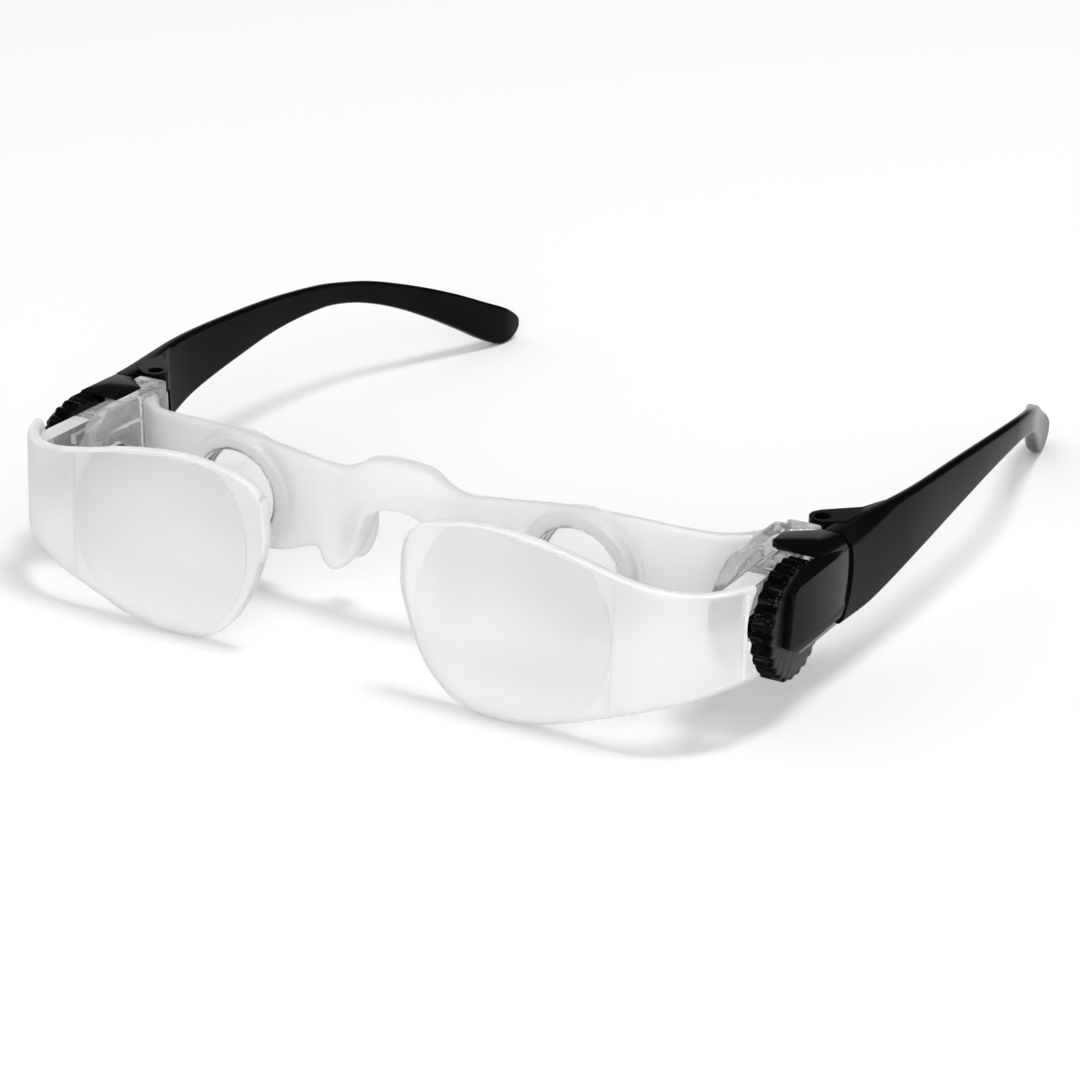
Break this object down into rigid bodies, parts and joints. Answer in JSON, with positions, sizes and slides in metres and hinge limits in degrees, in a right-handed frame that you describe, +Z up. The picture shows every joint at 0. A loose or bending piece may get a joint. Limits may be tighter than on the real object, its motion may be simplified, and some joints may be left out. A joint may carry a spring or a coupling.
{
  "type": "binocular glasses",
  "caption": "Spectacle-worn binocular magnifier: frosted clear frame with small eyepieces, sliding front lens carriers focused by side wheels, and folding black temples.",
  "frame": {"origin": "on the table under the middle of the open glasses' bounding box", "axes": "+X to the wearer's left, +Y back along the temples, +Z up"},
  "size_m": [0.1688, 0.1798, 0.0354],
  "materials": {
    "frosted_clear": "frosted translucent plastic with a fine satin skin",
    "clear_lens": "polished clear plastic",
    "soft_clear": "soft translucent rubber",
    "gloss_black": "polished black plastic",
    "temple_black": "satin to gloss black plastic",
    "wheel_black": "matt black plastic with a ribbed rim",
    "steel": "plain"
  },
  "bodies": {
    "root": {"rear_frame": "frosted_clear", "nose_pad_left": "soft_clear", "nose_pad_right": "soft_clear", "eyepiece_lens_left": "clear_lens", "eyepiece_lens_right": "clear_lens", "eyepiece_ring_left": "clear_lens", "eyepiece_ring_right": "clear_lens", "side_housing_left": "gloss_black", "side_housing_right": "gloss_black", "housing_screw_lower_left": "steel", "housing_screw_lower_right": "steel", "housing_screw_upper_left": "steel", "housing_screw_upper_right": "steel", "wheel_axle_left": "steel", "wheel_axle_right": "steel", "friction_washer_left": "steel", "friction_washer_right": "steel"},
    "front_left": {"objective_left": "frosted_clear"},
    "front_right": {"objective_right": "frosted_clear"},
    "wheel_left": {"focus_wheel_left": "wheel_black"},
    "wheel_right": {"focus_wheel_right": "wheel_black"},
    "side_arm_left": {"temple_left": "temple_black", "hinge_screw_left": "steel"},
    "side_arm_right": {"temple_right": "temple_black", "hinge_screw_right": "steel"}
  },
  "joints": [
    {"name": "focus_left", "type": "slide", "parent": "root", "child": "front_left", "axis": [0, -1, 0], "range_m": [0, 0.007]},
    {"name": "focus_right", "type": "slide", "parent": "root", "child": "front_right", "axis": [0, -1, 0], "range_m": [0, 0.007]},
    {"name": "wheel_turn_left", "type": "hinge", "parent": "root", "child": "wheel_left", "pos_m": [0.0786, -0.06149, 0.0188], "axis": [1, 0, 0], "range_deg": [0, 96]},
    {"name": "wheel_turn_right", "type": "hinge", "parent": "root", "child": "wheel_right", "pos_m": [-0.0786, -0.06149, 0.0188], "axis": [1, 0, 0], "range_deg": [0, 96]},
    {"name": "temple_fold_left", "type": "hinge", "parent": "root", "child": "side_arm_left", "pos_m": [0.0743, -0.04059, 0.0217], "axis": [0, 0, 1], "range_deg": [0, 90]},
    {"name": "temple_fold_right", "type": "hinge", "parent": "root", "child": "side_arm_right", "pos_m": [-0.0743, -0.04059, 0.0217], "axis": [0, 0, -1], "range_deg": [0, 80]}
  ],
  "couplings": [
    {"joint": "wheel_turn_left", "follows": "focus_left", "rad_per_m": 238.1},
    {"joint": "wheel_turn_right", "follows": "focus_right", "rad_per_m": 238.1}
  ]
}
